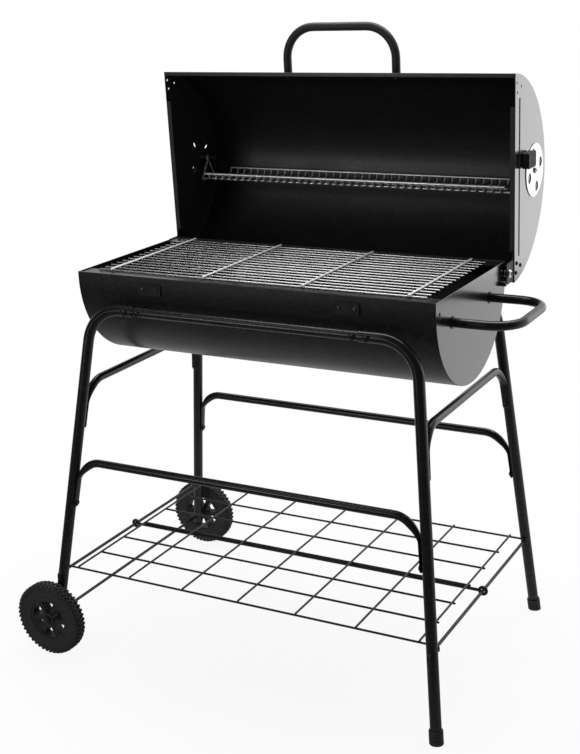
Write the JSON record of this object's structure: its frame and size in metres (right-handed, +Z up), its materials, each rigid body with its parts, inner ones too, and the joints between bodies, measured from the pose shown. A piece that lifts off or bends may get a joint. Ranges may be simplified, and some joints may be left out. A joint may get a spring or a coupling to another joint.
{
  "type": "barrel charcoal grill",
  "caption": "Half-barrel charcoal grill with hinged lid, wire grate, hanging warming rack, end vents, tube legs with wheels, side handle and wire shelf.",
  "frame": {"origin": "on the ground under the centre of the object's box, lid open", "axes": "+X to the side handle, +Y to the back where the lid is hinged, +Z up"},
  "size_m": [0.9336, 0.6514, 1.1474],
  "materials": {
    "black_paint": "satin heat-resistant black paint on steel sheet and tube",
    "matte_black": "matte black coated steel",
    "black_wire": "black coated steel wire",
    "chrome_wire": "bright chrome-plated steel wire",
    "chrome_disc": "bright chrome-plated steel sheet",
    "plated_strip": "dull zinc-plated steel",
    "bright_fasteners": "bright plated steel fasteners",
    "black_plastic": "moulded black plastic"
  },
  "bodies": {
    "stand": {"bowl_shell": "black_paint", "bowl_end_left": "black_paint", "bowl_end_right": "black_paint", "side_handle": "black_paint", "leg_front_left": "black_paint", "leg_front_right": "black_paint", "leg_back_left": "black_paint", "leg_back_right": "black_paint", "rail_front": "black_paint", "rail_back": "black_paint", "brace_front": "black_paint", "brace_back": "black_paint", "brace_left": "black_paint", "brace_right": "black_paint", "hanger_plate_front_left": "matte_black", "charcoal_hanger_front_left": "plated_strip", "hanger_plate_front_right": "matte_black", "charcoal_hanger_front_right": "plated_strip", "hanger_plate_back_left": "matte_black", "charcoal_hanger_back_left": "plated_strip", "hanger_plate_back_right": "matte_black", "charcoal_hanger_back_right": "plated_strip", "lid_stop_left": "matte_black", "hinge_bolt_left": "bright_fasteners", "shelf_rod_left": "black_wire", "lid_stop_right": "matte_black", "hinge_bolt_right": "bright_fasteners", "shelf_rod_right": "black_wire", "foot_cap_front": "black_plastic", "axle_cap_front": "bright_fasteners", "foot_cap_back": "black_plastic", "axle_cap_back": "bright_fasteners", "charcoal_grate": "black_wire", "shelf_tie_rod": "black_wire", "shelf_grid": "black_wire", "wheel_axle": "plated_strip"},
    "lid": {"lid_shell": "black_paint", "lid_end_left": "black_paint", "lid_end_right": "black_paint", "lid_handle": "black_paint", "hinge_bracket_left": "matte_black", "hinge_bracket_right": "matte_black", "vent_pin_left": "bright_fasteners", "vent_pin_right": "bright_fasteners"},
    "rack": {"warming_rack": "chrome_wire", "rack_hanger_left": "chrome_wire", "rack_hanger_right": "chrome_wire"},
    "vent_left": {"vent_disc_left": "chrome_disc", "vent_grip_left": "black_plastic"},
    "vent_right": {"vent_disc_right": "chrome_disc", "vent_grip_right": "black_plastic"},
    "wheel_front_body": {"wheel_front": "black_plastic"},
    "wheel_back_body": {"wheel_back": "black_plastic"},
    "grate": {"cooking_grate": "chrome_wire"}
  },
  "joints": [
    {"name": "lid_hinge", "type": "hinge", "parent": "stand", "child": "lid", "pos_m": [0.0018, 0.13455, 0.709], "axis": [1, 0, 0], "range_deg": [0, 88]},
    {"name": "rack_swing", "type": "hinge", "parent": "lid", "child": "rack", "pos_m": [0, 0.26218, 0.87656], "axis": [1, 0, 0], "range_deg": [-88, 0]},
    {"name": "vent_left_turn", "type": "hinge", "parent": "lid", "child": "vent_left", "pos_m": [0, 0.26218, 0.87656], "axis": [1, 0, 0], "range_deg": [-18, 27]},
    {"name": "vent_right_turn", "type": "hinge", "parent": "lid", "child": "vent_right", "pos_m": [0, 0.26218, 0.87656], "axis": [1, 0, 0], "range_deg": [-18, 27]},
    {"name": "wheel_front_spin", "type": "hinge", "parent": "stand", "child": "wheel_front_body", "pos_m": [-0.39476, -0.30545, 0.072], "axis": [0, 1, 0], "continuous": true},
    {"name": "wheel_back_spin", "type": "hinge", "parent": "stand", "child": "wheel_back_body", "pos_m": [-0.39476, 0.25455, 0.072], "axis": [0, 1, 0], "continuous": true},
    {"name": "grate_lift", "type": "slide", "parent": "stand", "child": "grate", "axis": [0, 0, -1], "range_m": [-0.13, 0]}
  ],
  "couplings": [
    {"joint": "rack_swing", "follows": "lid_hinge", "ratio": -1}
  ]
}
